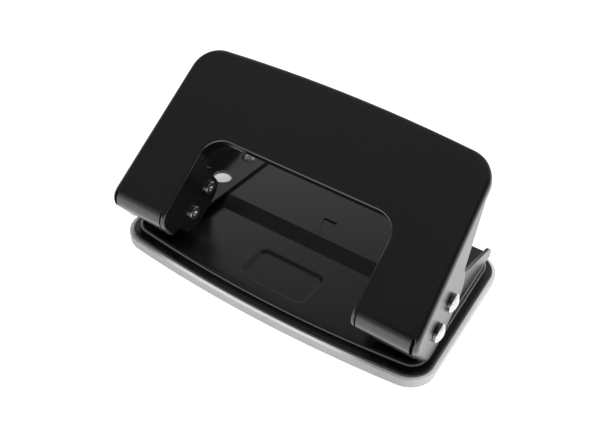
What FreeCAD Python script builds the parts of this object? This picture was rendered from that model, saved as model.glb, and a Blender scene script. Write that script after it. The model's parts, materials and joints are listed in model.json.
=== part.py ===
import FreeCAD, Part
import math
import os
import re
import Sketcher

# Two-hole lever punch for paper, lever raised. Millimetres, +Z up, +X to the right, +Y to the back.
# The origin is on the table, under the middle of the whole punch as it stands.

# Driving lengths, one cell each in the sheet.
SIZES = {
    "hole_spacing": 80.0,
    "hole_size": 6.0,
    "punch_setback": 19.35,
    "paper_margin": 12.0,
    "stop_slack": 0.8,
    "paper_gap": 2.0,
    "overrun": 20.0,
    "slide_fit": 0.05,
    "press_fit": 0.01,
    "plate_depth": 59.0,
    "plate_shift": 0.7,
    "plate_taper": 1.85,
    "platform_margin": 0.45,
    "front_bow": 3.5,
    "plate_corner": 7.6,
    "plate_sheet": 1.0,
    "deck_inset": 2.2,
    "deck_rise": 1.7,
    "deck_round": 1.2,
    "rim_land": 0.1,
    "platform_step": 0.6,
    "platform_round": 0.7,
    "ramp_run": 4.6,
    "recess_width": 22.2,
    "recess_length": 13.3,
    "recess_depth": 0.8,
    "recess_corner": 1.6,
    "recess_setback": 13.25,
    "mark_width": 4.8,
    "mark_length": 7.6,
    "mark_depth": 0.4,
    "tray_height": 3.3,
    "tray_lip": 1.0,
    "tray_wall": 1.3,
    "tray_floor": 0.8,
    "tray_shelf": 1.1,
    "tray_plug": 1.0,
    "plug_width": 1.0,
    "plug_fit": 0.15,
    "peg_lip": 0.2,
    "peg_drop": 0.1,
    "foot_height": 1.4,
    "foot_inset": 0.1,
    "foot_round": 0.5,
    "pivot_height": 9.85,
    "drive_reach": 8.8,
    "drive_drop": 1.0,
    "flange_gap": 1.95,
    "flange_taper": 2.6,
    "ear_gap": 2.7,
    "handle_reach": 47.2,
    "handle_front": 8.9,
    "handle_top": 13.7,
    "handle_bow": 2.1,
    "handle_sheet": 1.0,
    "handle_corner": 8.6,
    "edge_round": 1.8,
    "lip_round": 4.5,
    "lip_drop": 9.0,
    "notch_reach": 20.7,
    "notch_corner": 6.5,
    "notch_round": 0.7,
    "notch_rim": 4.6,
    "rear_rim": 3.2,
    "deck_gap": 0.95,
    "press_gap": 0.5,
    "ear_front": 6.4,
    "ear_rear": 4.6,
    "ear_shift": 1.2,
    "ear_rise": 9.9,
    "ear_step": 3.6,
    "slit_width": 0.9,
    "ear_slit_width": 0.5,
    "slit_edge": 0.1,
    "slit_setback": 0.7,
    "pin_size": 3.6,
    "pin_head_lip": 1.0,
    "pin_head_height": 1.9,
    "pin_head_side": 0.9,
    "pin_end": 4.0,
    "pin_end_height": 0.7,
    "pin_dimple": 1.7,
    "pin_dimple_depth": 1.2,
    "channel_gap": 0.35,
    "outer_room": 1.15,
    "bracket_sheet": 1.0,
    "bracket_margin": 1.5,
    "cheek_front": 5.0,
    "cheek_rear_round": 4.4,
    "cheek_top": 1.3,
    "cheek_end": 4.1,
    "knee_setback": 17.6,
    "inner_cheek_reach": 5.4,
    "slot_slack": 0.2,
    "drive_slack": 0.22,
    "locating_hole": 6.2,
    "rivet_setback": 5.35,
    "rivet_size": 2.6,
    "rivet_head_lip": 0.9,
    "rivet_head_height": 1.1,
    "rivet_tail_lip": 0.7,
    "rivet_tail_height": 0.6,
    "punch_rest": 0.3,
    "punch_head_lip": 1.5,
    "punch_head_wall": 1.2,
    "punch_head_bevel": 0.5,
    "punch_notch": 0.9,
    "punch_slot_corner": 0.9,
    "bush_wall": 0.6,
    "spigot_wall": 0.4,
    "bush_height": 1.6,
    "die_wall": 1.45,
    "die_collar_lip": 0.9,
    "die_collar_height": 0.6,
    "seat_lip": 0.15,
    "seat_height": 0.4,
    "spring_ease": 0.2,
    "spring_wire": 0.45,
    "spring_gap": 0.12,
}

# Driving angles in degrees, in the same sheet.
ANGLES = {
    "raised_angle": 37.4,
    "press_angle": 31.0,
    "recess_angle": 45.0,
    "flange_angle": 33.0,
    "flange_end_angle": 2.0,
    "ear_angle": 20.0,
    "cheek_angle": 15.0,
    "left_turn_angle": 3.5,
}

# The way from the punch to the rivet at which the locating hole lies.
SHARES = {
    "locating_share": 0.57516,
}

# Counts: quarter turns of the spring's wire, and points per turn where its gap to itself is measured.
SPRING_QUARTER_COUNT = 14
SPRING_POINT_COUNT = 16

# Shares of an edge's own length that tell upright, level and backward edges apart.
UPRIGHT_SHARE = 0.02
LEVEL_SHARE = 0.001
BACKWARD_SHARE = 0.4

# Named formulas, used in the outlines and bound in the document.
LINKS = {
    "flange_top": "tray_height + plate_sheet",
    "rim_round": "plate_sheet - rim_land",
    "deck_top": "flange_top + deck_rise",
    "deck_under": "deck_top - plate_sheet",
    "platform_top": "deck_top + paper_gap",
    "platform_under": "platform_top - plate_sheet",
    "front_edge": "plate_shift - plate_depth / 2",
    "rear_edge": "plate_shift + plate_depth / 2",
    "punch_line": "front_edge + punch_setback",
    "ramp_top": "punch_line + paper_margin + stop_slack",
    "ramp_foot": "ramp_top - ramp_run",
    "ramp_shift": "plate_sheet * tan(atan(paper_gap / ramp_run) / 2)",
    "drive_arm": "sqrt(drive_reach ^ 2 + drive_drop ^ 2)",
    "drive_high": "raised_angle * 1deg - atan(drive_drop / drive_reach)",
    "drive_low": "drive_high - press_angle * 1deg",
    "drive_rise": "drive_arm * sin(drive_high)",
    "stroke": "drive_arm * (sin(drive_high) - sin(drive_low))",
    "drive_shift": "drive_arm * (cos(drive_low) - cos(drive_high))",
    "drive_middle": "drive_arm * (cos(drive_low) + cos(drive_high)) / 2",
    "pivot_line": "punch_line - drive_middle",
    "pivot_level": "deck_top + pivot_height",
    "drive_level": "pivot_level + drive_rise",
    "punch_bore": "hole_size + 2 * slide_fit",
    "bush_size": "punch_bore + 2 * bush_wall",
    "spigot_size": "punch_bore + 2 * spigot_wall",
    "die_size": "punch_bore + 2 * die_wall",
    "collar_size": "die_size + 2 * die_collar_lip",
    "spring_size": "bush_size + 2 * (spring_ease + spring_wire)",
    "seat_size": "spring_size + 2 * seat_lip",
    "head_size": "hole_size + 2 * punch_head_lip",
    "channel_half": "seat_size / 2 + channel_gap",
    "hub": "hole_spacing / 2",
    "outer_cheek": "hub + channel_half + outer_room + bracket_sheet",
    "inner_cheek": "hub - channel_half - bracket_sheet",
    "rear_half": "outer_cheek + platform_margin + deck_inset",
    "front_half": "rear_half + plate_taper",
    "ear_inner": "inner_cheek - ear_gap",
    "ear_face": "ear_inner - handle_sheet",
    "handle_half": "outer_cheek + flange_gap + handle_sheet",
    "handle_rear_half": "handle_half - flange_taper",
    "handle_length": "handle_reach - handle_bow + handle_front",
    "flange_slant": "flange_taper / handle_length",
    "flange_front": "pivot_height - deck_gap",
    "flange_drop": "pivot_height + drive_arm * sin(drive_low) - press_gap",
    "flange_bottom": "drive_drop + flange_drop",
    "bracket_rear": "rear_edge - deck_inset - bracket_margin",
    "inner_cheek_rear": "punch_line + inner_cheek_reach",
    "knee_place": "punch_line + knee_setback",
    "rivet_reach": "bracket_rear - rivet_setback - punch_line",
    "locating_reach": "rivet_reach * locating_share",
    "peg_size": "locating_hole + 2 * peg_lip",
    "rivet_head": "rivet_size + 2 * rivet_head_lip",
    "rivet_tail": "rivet_size + 2 * rivet_tail_lip",
    "pin_head": "pin_size + 2 * pin_head_lip",
    "floor_top": "platform_top + bracket_sheet",
    "slot_front": "punch_line - drive_shift / 2 - pin_size / 2 - slot_slack",
    "slot_rear": "punch_line + drive_shift / 2 + pin_size / 2 + slot_slack",
    "slot_low": "drive_level - stroke - pin_size / 2 - slot_slack",
    "slot_high": "drive_level + pin_size / 2 + slot_slack",
    "cheek_high": "slot_high + cheek_top",
    "end_place": "bracket_rear - cheek_rear_round * (1 - sin(cheek_angle))",
    "end_level": "floor_top + cheek_end",
    "knee_level": "end_level + tan(cheek_angle) * (end_place - knee_place)",
    "head_half": "pin_size / 2 + drive_slack + punch_head_wall",
    "head_bottom": "drive_level - head_half",
    "seat_bottom": "head_bottom - seat_height",
    "spring_length": "seat_bottom - floor_top - 2 * spring_gap",
    "bush_top": "floor_top + bush_height",
    "tip_level": "platform_top + punch_rest",
    "die_bottom": "deck_under - die_collar_height",
}

doc = FreeCAD.newDocument("LeverPunch")
sheet = doc.addObject("Spreadsheet::Sheet", "Sizes")
for row, (name, value) in enumerate((SIZES | ANGLES | SHARES).items(), start=1):
    sheet.set(f"A{row}", name.replace("_", " "))
    sheet.set(f"B{row}", str(value))
    sheet.setAlias(f"B{row}", name)
doc.recompute()


def bound(text):
    """Write a formula's names out as cells of the sheet."""
    def swap(found):
        word = found.group()
        if word in LINKS:
            return f"({bound(LINKS[word])})"
        return f"Sizes.{word}" if word in SIZES | ANGLES | SHARES else word
    return re.sub(r"[a-z][a-z_]*", swap, text)


def amount(text):
    """The present value of a formula."""
    result = sheet.evalExpression(bound(text))
    return float(getattr(result, "Value", result))


def vector(x, y, z=0.0):
    return FreeCAD.Vector(x, y, z)


def tie(thing, **formulas):
    for name, text in formulas.items():
        thing.setExpression(name.replace("__", "."), bound(text))


def new_body(label):
    body = doc.addObject("PartDesign::Body", label)
    body.Label = label
    return body


def sketch_on(body, role, name, lift="0"):
    """An empty sketch on one of the body's own planes, lifted along that plane's normal."""
    sketch = body.newObject("Sketcher::SketchObject", name)
    plane = next(item for item in body.Origin.OriginFeatures if item.Role == role)
    sketch.AttachmentSupport = [(plane, "")]
    sketch.MapMode = "FlatFace"
    sketch.setExpression("AttachmentOffset.Base.z", bound(lift))
    return sketch


def arc_between(start, end, radius, turn):
    """The shorter arc from start to end, turning left for +1 and right for -1."""
    chord = end - start
    side = vector(-chord.y, chord.x) * turn
    side.normalize()
    rise = math.sqrt(max(radius ** 2 - (chord.Length / 2) ** 2, 0.0))
    centre = (start + end) * 0.5 + side * rise
    first, last = (start, end) if turn > 0 else (end, start)
    angles = [math.atan2(point.y - centre.y, point.x - centre.x) for point in (first, last)]
    return Part.ArcOfCircle(Part.Circle(centre, vector(0, 0, 1), radius), *angles)


def hold(sketch, kind, where, text):
    place = sketch.addConstraint(Sketcher.Constraint(kind, *where, amount(text)))
    sketch.setExpression(f"Constraints[{place}]", bound(text))


def outline(sketch, corners):
    """A closed outline. A corner is (x, y), or (x, y, radius, turn) where an arc leads to the next."""
    points = [vector(amount(corner[0]), amount(corner[1])) for corner in corners]
    ends = []
    for index, corner in enumerate(corners):
        start, end = points[index], points[(index + 1) % len(points)]
        if len(corner) == 2:
            curve, first, last = Part.LineSegment(start, end), 1, 2
        else:
            curve = arc_between(start, end, amount(corner[2]), corner[3])
            first, last = (1, 2) if corner[3] > 0 else (2, 1)
        ends.append((sketch.addGeometry(curve, False), first, last))
    for index, corner in enumerate(corners):
        edge, first, last = ends[index]
        following = ends[(index + 1) % len(ends)]
        sketch.addConstraint(Sketcher.Constraint("Coincident", edge, last, following[0], following[1]))
        hold(sketch, "DistanceX", (-1, 1, edge, first), corner[0])
        hold(sketch, "DistanceY", (-1, 1, edge, first), corner[1])
        if len(corner) > 2:
            hold(sketch, "Radius", (edge,), corner[2])


def ring(sketch, x, y, diameter):
    circle = Part.Circle(vector(amount(x), amount(y)), vector(0, 0, 1), amount(diameter) / 2)
    edge = sketch.addGeometry(circle)
    hold(sketch, "DistanceX", (-1, 1, edge, 3), x)
    hold(sketch, "DistanceY", (-1, 1, edge, 3), y)
    hold(sketch, "Radius", (edge,), f"({diameter}) / 2")


def pad(body, sketch, length, both_ways=False, downwards=False):
    feature = body.newObject("PartDesign::Pad", f"{sketch.Name}Pad")
    feature.Profile = sketch
    feature.SideType = "Symmetric" if both_ways else "One side"
    feature.Reversed = downwards
    tie(feature, Length=length)
    doc.recompute()
    return feature


def pocket(body, sketch, length, both_ways=False, upwards=False):
    """A cut of the given depth, whose effect on the volume is checked."""
    before = body.Shape.Volume
    feature = body.newObject("PartDesign::Pocket", f"{sketch.Name}Cut")
    feature.Profile = sketch
    feature.SideType = "Symmetric" if both_ways else "One side"
    feature.Reversed = upwards
    tie(feature, Length=length)
    doc.recompute()
    if not body.Shape.Volume < before:
        raise RuntimeError(f"{sketch.Name} cuts nothing")
    return feature


def turned(body, sketch, axis):
    feature = body.newObject("PartDesign::Revolution", f"{sketch.Name}Turn")
    feature.Profile = sketch
    feature.ReferenceAxis = (sketch, [axis])
    doc.recompute()
    return feature


def rounded(body, name, radius, wanted):
    """Round the edges of the body for which wanted(edge) is true."""
    base = body.Tip
    edges = [f"Edge{index}" for index, edge in enumerate(base.Shape.Edges, start=1) if wanted(edge)]
    feature = body.newObject("PartDesign::Fillet", name)
    feature.Base = (base, edges)
    tie(feature, Radius=radius)
    doc.recompute()
    return feature


def is_upright(edge):
    box = edge.BoundBox
    return max(box.XLength, box.YLength) < UPRIGHT_SHARE * box.ZLength


def lies_at(edge, level):
    box = edge.BoundBox
    return max(abs(box.ZMin - level), box.ZLength) < LEVEL_SHARE * box.DiagonalLength


def runs_back(edge, level):
    """True for an edge at the given level that runs along Y, or round a corner from it."""
    return lies_at(edge, level) and edge.BoundBox.YLength > BACKWARD_SHARE * edge.BoundBox.XLength


def joined(kind, label, base, tools):
    """A cut or a union of document objects, one after the other."""
    result = base
    for tool in tools:
        step = doc.addObject(f"Part::{kind}", f"{label}_step")
        names = ("Base", "Tool")
        for name, item in zip(names, (result, tool)):
            setattr(step, name, item)
        result = step
    result.Label = label
    doc.recompute()
    return result


def plate_corners(inset):
    """The base's plan, set in from the edge of its flange: bowed at the front, narrower at the back."""
    front, rear = f"front_half - ({inset})", f"rear_half - ({inset})"
    level = f"front_edge + front_bow + ({inset})"
    bow = f"(({front}) ^ 2 + front_bow ^ 2) / (2 * front_bow)"
    return [
        (f"-({front})", level, bow, 1),
        (front, level),
        (rear, f"rear_edge - ({inset})"),
        (f"-({rear})", f"rear_edge - ({inset})"),
    ]


def plan_block(body, name, inset, low, high):
    """A block over the base's plan, with its four upright corners rounded."""
    sketch = sketch_on(body, "XY_Plane", name, low)
    outline(sketch, plate_corners(inset))
    pad(body, sketch, f"{high} - ({low})")
    return rounded(body, f"{name}Corners", f"plate_corner - ({inset})", is_upright)


def side_word(side):
    return "left" if side < 0 else "right"


def turn_of(side):
    """The left bracket stands slightly turned on the base, its rear end towards the middle."""
    return "left_turn_angle" if side < 0 else "0"


def bracket_place(side, reach):
    """The place on the base of a point on a bracket's middle line, so far behind its punch."""
    turn = turn_of(side)
    return f"{side} * (hub - ({reach}) * sin({turn}))", f"punch_line + ({reach}) * cos({turn})"


def pressed_form(label, inset, drop, shift):
    """The raised deck with its ramp and rear platform, as a solid. The inner one is the room below."""
    deck = new_body(f"{label}_deck")
    low = "tray_height" if drop == "0" else "tray_height - overrun"
    plan_block(deck, "Deck", inset, low, f"deck_top - {drop}")
    rear = new_body(f"{label}_platform")
    plan_block(rear, "Platform", f"{inset} + platform_step", low, f"platform_top - {drop}")
    ramp = sketch_on(rear, "YZ_Plane", "Ramp")
    outline(ramp, [
        ("front_edge - overrun", f"{low} - overrun"),
        (f"ramp_foot + {shift}", f"{low} - overrun"),
        (f"ramp_foot + {shift}", f"deck_top - {drop}"),
        (f"ramp_top + {shift}", f"platform_top - {drop}"),
        (f"ramp_top + {shift}", "platform_top + overrun"),
        ("front_edge - overrun", "platform_top + overrun"),
    ])
    pocket(rear, ramp, "2 * (front_half + overrun)", both_ways=True)
    if drop == "0":
        rounded(deck, "DeckEdge", "deck_round", lambda edge: lies_at(edge, amount("deck_top")))
        level, front = amount("platform_top"), amount("ramp_top + platform_round / 2")
        rounded(rear, "PlatformEdge", "platform_round",
                lambda edge: lies_at(edge, level) and edge.BoundBox.YMax > front)
    return deck, rear


def make_base_plate():
    """Pressed steel plate: a flat flange, the deck, the ramp that stops the paper and the rear platform."""
    flange = new_body("base_flange")
    plan_block(flange, "Flange", "0", "tray_height", "flange_top")
    rounded(flange, "FlangeEdge", "rim_round", lambda edge: lies_at(edge, amount("flange_top")))
    deck, rear = pressed_form("base_outer", "deck_inset", "0", "0")
    bump = new_body("base_recess_under")
    recess_plan(bump, "RecessUnder", "plate_sheet", "deck_top - recess_depth - plate_sheet", "deck_top")
    inner = pressed_form("base_inner", "deck_inset + plate_sheet", "plate_sheet", "ramp_shift")
    shell = joined("Fuse", "base_blank", flange, [deck, rear])
    hollow = joined("Cut", "base_hollow", shell, inner)
    filled = joined("Fuse", "base_filled", hollow, [bump])
    recess = new_body("base_recess")
    recess_plan(recess, "Recess", "0", "deck_top - recess_depth", "deck_top + overrun")
    mark = new_body("base_mark")
    triangle = sketch_on(mark, "XY_Plane", "Mark", "platform_top - mark_depth")
    outline(triangle, [
        ("0", "ramp_top + platform_round"),
        ("mark_width / 2", "ramp_top + platform_round + mark_length"),
        ("-mark_width / 2", "ramp_top + platform_round + mark_length"),
    ])
    pad(mark, triangle, "mark_depth + overrun")
    holes = new_body("base_holes")
    round_holes = sketch_on(holes, "XY_Plane", "BaseHoles")
    for side in (-1, 1):
        ring(round_holes, *bracket_place(side, "0"), "die_size + 2 * press_fit")
        ring(round_holes, *bracket_place(side, "locating_reach"), "peg_size + 2 * plug_fit")
        ring(round_holes, *bracket_place(side, "rivet_reach"), "rivet_size + 2 * press_fit")
    pad(holes, round_holes, "platform_top + overrun")
    joined("Cut", "base_plate", filled, [recess, mark, holes])


def recess_plan(body, name, grow, low, high):
    """The sunk rectangle between the punches, its walls sloping outwards as they rise."""
    spread = f"(({high}) - ({low})) / tan(recess_angle)"
    middle = "front_edge + recess_setback"
    sketches = []
    for level, reach, part in ((low, grow, "Floor"), (high, f"{grow} + {spread}", "Mouth")):
        sketch = sketch_on(body, "XY_Plane", name + part, level)
        half = f"recess_width / 2 - recess_depth / tan(recess_angle) + {reach}"
        near = f"{middle} - recess_length / 2 + recess_depth / tan(recess_angle) - ({reach})"
        far = f"{middle} + recess_length / 2 - recess_depth / tan(recess_angle) + {reach}"
        round_size = f"recess_corner + {reach}"
        outline(sketch, rounded_rectangle(half, near, far, round_size))
        sketches.append(sketch)
    loft = body.newObject("PartDesign::AdditiveLoft", f"{name}Loft")
    loft.Profile = sketches[0]
    loft.Sections = sketches[1:]
    loft.Ruled = True
    doc.recompute()


def rounded_rectangle(half, near, far, radius):
    return [
        (f"-({half}) + {radius}", near),
        (f"({half}) - ({radius})", near, radius, 1),
        (half, f"{near} + {radius}"),
        (half, f"{far} - ({radius})", radius, 1),
        (f"({half}) - ({radius})", far),
        (f"-({half}) + {radius}", far, radius, 1),
        (f"-({half})", f"{far} - ({radius})"),
        (f"-({half})", f"{near} + {radius}", radius, 1),
    ]


def make_chip_tray():
    """Plastic tray under the plate. A plug inside the rim and two pegs locate it in the plate."""
    foot = new_body("tray_foot")
    plan_block(foot, "Foot", "-tray_lip + foot_inset", "0", "foot_height")
    rounded(foot, "FootEdge", "foot_round", lambda edge: lies_at(edge, 0.0))
    rim = new_body("tray_rim")
    plan_block(rim, "Rim", "-tray_lip", "foot_height", "tray_height")
    plug_inset = "deck_inset + plate_sheet + plug_fit"
    plug = new_body("tray_plug")
    plan_block(plug, "Plug", plug_inset, "tray_height - tray_shelf", "tray_height + tray_plug")
    room = new_body("tray_room")
    plan_block(room, "Room", f"{plug_inset} + plug_width", "tray_floor", "tray_height + tray_plug + overrun")
    wide_room = new_body("tray_wide_room")
    plan_block(wide_room, "WideRoom", "-tray_lip + tray_wall", "tray_floor", "tray_height - tray_shelf")
    pegs = []
    for side in (-1, 1):
        peg = new_body(f"tray_peg_{side_word(side)}")
        sketch = sketch_on(peg, "XY_Plane", "Peg", "tray_floor / 2")
        ring(sketch, *bracket_place(side, "locating_reach"), "peg_size")
        pad(peg, sketch, "platform_top - peg_drop - tray_floor / 2")
        pegs.append(peg)
    solid = joined("Fuse", "tray_solid", foot, [rim, plug])
    hollow = joined("Cut", "tray_hollow", solid, [room, wide_room])
    joined("Fuse", "chip_tray", hollow, pegs)


def on_lever(thing, along="0", above="0"):
    """Lever pieces are drawn about the pivot axis, plate level, and stand raised at rest."""
    thing.Placement = FreeCAD.Placement(vector(0, 0, 0), FreeCAD.Rotation(vector(1, 0, 0), 1))
    place_y = f"pivot_line + ({along}) * cos(raised_angle) - ({above}) * sin(raised_angle)"
    place_z = f"pivot_level + ({along}) * sin(raised_angle) + ({above}) * cos(raised_angle)"
    tie(thing, Placement__Base__y=place_y, Placement__Base__z=place_z)
    tie(thing, Placement__Rotation__Angle="raised_angle")


def handle_form(label, inset, low):
    """The handle's U-shaped plan as a block with rolled edges. The inner one is the room below."""
    form = new_body(label)
    front = f"-handle_front + {inset}"
    rear = f"handle_reach - handle_bow - {inset}"
    wide, narrow = f"handle_half - {inset}", f"handle_rear_half - {inset}"
    gap, reach = f"ear_face + {inset}", f"notch_reach + {inset}"
    bow = f"(({narrow}) ^ 2 + handle_bow ^ 2) / (2 * handle_bow)"
    plan = sketch_on(form, "XY_Plane", "Plan", low)
    outline(plan, [
        (f"-({wide})", front),
        (f"-({gap})", front),
        (f"-({gap})", reach),
        (gap, reach),
        (gap, front),
        (wide, front),
        (narrow, rear, bow, 1),
        (f"-({narrow})", rear),
    ])
    pad(form, plan, f"handle_top - {inset} - ({low})")
    leg_middle = amount("(ear_face + handle_rear_half) / 2")
    rounded(form, "RearCorners", f"handle_corner - {inset}", lambda edge: is_upright(edge)
            and edge.BoundBox.YMin > 0 and abs(edge.BoundBox.XMin) > leg_middle)
    rounded(form, "NotchCorners", f"notch_corner + {inset}", lambda edge: is_upright(edge)
            and edge.BoundBox.YMin > 0 and abs(edge.BoundBox.XMin) < leg_middle)
    roll = sketch_on(form, "YZ_Plane", "LipRound")
    top, curve = f"handle_top - {inset}", f"lip_round - {inset}"
    outline(roll, [
        (f"{front} + {curve}", top, curve, 1),
        (front, f"{top} - ({curve})"),
        (f"{front} - overrun", f"{top} - ({curve})"),
        (f"{front} - overrun", f"{top} + overrun"),
        (f"{front} + {curve}", f"{top} + overrun"),
    ])
    pocket(form, roll, "2 * (handle_half + overrun)", both_ways=True)
    level = amount(top)
    rounded(form, "EdgeRound", f"edge_round - {inset}", lambda edge: runs_back(edge, level)
            and abs(edge.BoundBox.Center.x) > leg_middle)
    if inset == "0":
        rounded(form, "NotchRound", "notch_round", lambda edge: runs_back(edge, level)
                and abs(edge.BoundBox.Center.x) < leg_middle)
    return form


def make_lever_handle():
    """Formed steel sheet: top plate with a notch, side flanges, front lips and the ears on its legs."""
    outer = handle_form("handle_outer", "0", "-(flange_bottom + handle_sheet)")
    inner = handle_form("handle_inner", "handle_sheet", "-(flange_bottom + overrun)")
    cutters = [inner, flange_cutter(), ear_cutter()]
    cutters += [cutter(side) for side in (-1, 1) for cutter in (lip_cutter, slit_cutter)]
    holes = new_body("handle_pin_holes")
    round_holes = sketch_on(holes, "YZ_Plane", "PinHoles")
    ring(round_holes, "0", "0", "pin_size + 2 * press_fit")
    ring(round_holes, "drive_reach", "-drive_drop", "pin_size + 2 * press_fit")
    pad(holes, round_holes, "2 * (handle_half + overrun)", both_ways=True)
    handle = joined("Cut", "lever_handle", outer, cutters + [holes])
    on_lever(handle)


def flange_cutter():
    """Everything below the side flanges: round at the pivot, deep at the drive pin, sloping to the rear."""
    body = new_body("handle_flange_cutter")
    sketch = sketch_on(body, "YZ_Plane", "FlangeEdge")
    waist_y = "-drive_drop + flange_drop * sin(flange_end_angle)"
    waist_x = "drive_reach + flange_drop * cos(flange_end_angle)"
    end, rim = "handle_reach + overrun", "handle_top - rear_rim"
    outline(sketch, [
        ("-flange_front", "0", "flange_front", 1),
        ("0", "-flange_front"),
        ("drive_reach", "-flange_bottom", "flange_drop", 1),
        (waist_x, waist_y),
        (f"{waist_x} + ({rim} - ({waist_y})) / tan(flange_angle)", rim),
        (end, rim),
        (end, "-flange_bottom - overrun"),
        ("-handle_front - overrun", "-flange_bottom - overrun"),
        ("-handle_front - overrun", "0"),
    ])
    pad(body, sketch, "2 * (handle_half + overrun)", both_ways=True)
    return body


def ear_cutter():
    """The ears are smaller than the flanges: their edge follows the two pins and climbs to the notch."""
    body = new_body("handle_ear_cutter")
    sketch = sketch_on(body, "YZ_Plane", "EarEdge")
    rear = "drive_reach - ear_shift + ear_rear"
    level = "-(ear_front - ear_rear)"
    rim = "handle_top - notch_rim"
    outline(sketch, [
        ("-ear_front * cos(ear_angle)", "ear_step"),
        ("-ear_front * cos(ear_angle)", "-ear_front * sin(ear_angle)", "ear_front", 1),
        ("0", "-ear_front"),
        ("drive_reach - ear_shift", "-ear_front", "ear_rear", 1),
        (rear, level),
        (rear, "ear_rise - ear_rear"),
        (f"{rear} + ear_rear", rim),
        ("handle_reach + overrun", rim),
        ("handle_reach + overrun", "-flange_bottom - overrun"),
        ("-handle_front - overrun", "-flange_bottom - overrun"),
        ("-handle_front - overrun", "ear_step"),
    ])
    pad(body, sketch, "2 * (ear_inner + slit_edge)", both_ways=True)
    return body


def lip_ends(side):
    """Where one front lip ends: beside the ear and beside the flange."""
    return (f"{side} * (ear_inner + slit_edge)",
            f"{side} * (handle_half - handle_sheet - flange_slant * lip_round - slit_edge)")


def lip_cutter(side):
    """Frees one front lip below its edge."""
    body = new_body(f"handle_lip_cutter_{side_word(side)}")
    inner, outer = lip_ends(side)
    left, right = (outer, inner) if side < 0 else (inner, outer)
    shape = sketch_on(body, "XZ_Plane", "LipEdge", "handle_front - lip_round")
    outline(shape, [
        (left, "-flange_bottom - overrun"),
        (right, "-flange_bottom - overrun"),
        (right, "handle_top - lip_drop"),
        (left, "handle_top - lip_drop"),
    ])
    pad(body, shape, "overrun")
    return body


def slit_cutter(side):
    """The two slits with round ends that part one lip from the ear and from the flange."""
    body = new_body(f"handle_slit_cutter_{side_word(side)}")
    inner, outer = lip_ends(side)
    slits = ((f"{inner} + {side} * ear_slit_width / 2", "ear_slit_width"),
             (f"{outer} - {side} * slit_width / 2", "slit_width"))
    for index, (middle, width) in enumerate(slits):
        sketch = sketch_on(body, "XY_Plane", f"Slit{index}", "-flange_bottom - overrun")
        end = f"lip_round - handle_front - slit_setback - {width} / 2"
        left, right = f"{middle} - {width} / 2", f"{middle} + {width} / 2"
        outline(sketch, [
            (left, "-handle_front - overrun"),
            (right, "-handle_front - overrun"),
            (right, end, f"{width} / 2", 1),
            (middle, f"{end} + {width} / 2", f"{width} / 2", 1),
            (left, end),
        ])
        pad(body, sketch, "flange_bottom + handle_top + 2 * overrun")
    return body


def make_pins(side):
    """Headed pins through each leg. The front one is the pivot, the rear one drives the punch."""
    word, sign = ("left", "-1") if side < 0 else ("right", "1")
    places = (("pivot_pin", "0", "0"), ("drive_pin", "drive_reach", "-drive_drop"))
    for kind, along, above in places:
        body = new_body(f"{word}_{kind}")
        sketch = sketch_on(body, "XY_Plane", "PinProfile")
        inner = "ear_face - pin_end_height"
        seat = f"handle_half - flange_slant * (handle_front + {along} - pin_head / 2)"
        dome = "pin_head_height - pin_head_side"
        profile = [
            (f"{inner} + pin_dimple_depth", "0"),
            (inner, "pin_dimple / 2"),
            (inner, "pin_end / 2"),
            ("ear_face", "pin_end / 2"),
            ("ear_face", "pin_size / 2"),
            (seat, "pin_size / 2"),
            (seat, "pin_head / 2"),
            (f"{seat} + pin_head_side", "pin_head / 2",
             f"((pin_head / 2) ^ 2 + ({dome}) ^ 2) / (2 * ({dome}))", -side),
            (f"{seat} + pin_head_height", "0"),
        ]
        outline(sketch, [(f"{sign} * ({corner[0]})", *corner[1:]) for corner in profile])
        turned(body, sketch, "H_Axis")
        on_lever(body, along, above)


def cheek_corners(rear_cheek):
    """Side view of a cheek, from the pivot to its rounded rear end or to its end behind the punch."""
    start = "pivot_line - cheek_front"
    corners = [
        (start, "platform_top"),
    ]
    rear = [
        ("bracket_rear", "platform_top"),
        ("bracket_rear", "end_level - cheek_rear_round * cos(cheek_angle)", "cheek_rear_round", 1),
        ("end_place", "end_level"),
        ("knee_place", "knee_level"),
        ("slot_rear + cheek_top", "cheek_high"),
    ]
    short = [
        ("inner_cheek_rear", "platform_top"),
        ("inner_cheek_rear", "cheek_high - cheek_top"),
        ("slot_rear + cheek_top", "cheek_high"),
    ]
    front = [
        ("slot_front - cheek_top", "cheek_high"),
        ("pivot_line", "pivot_level + cheek_front", "cheek_front", 1),
        (start, "pivot_level"),
    ]
    return corners + (rear if rear_cheek else short) + front


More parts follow.
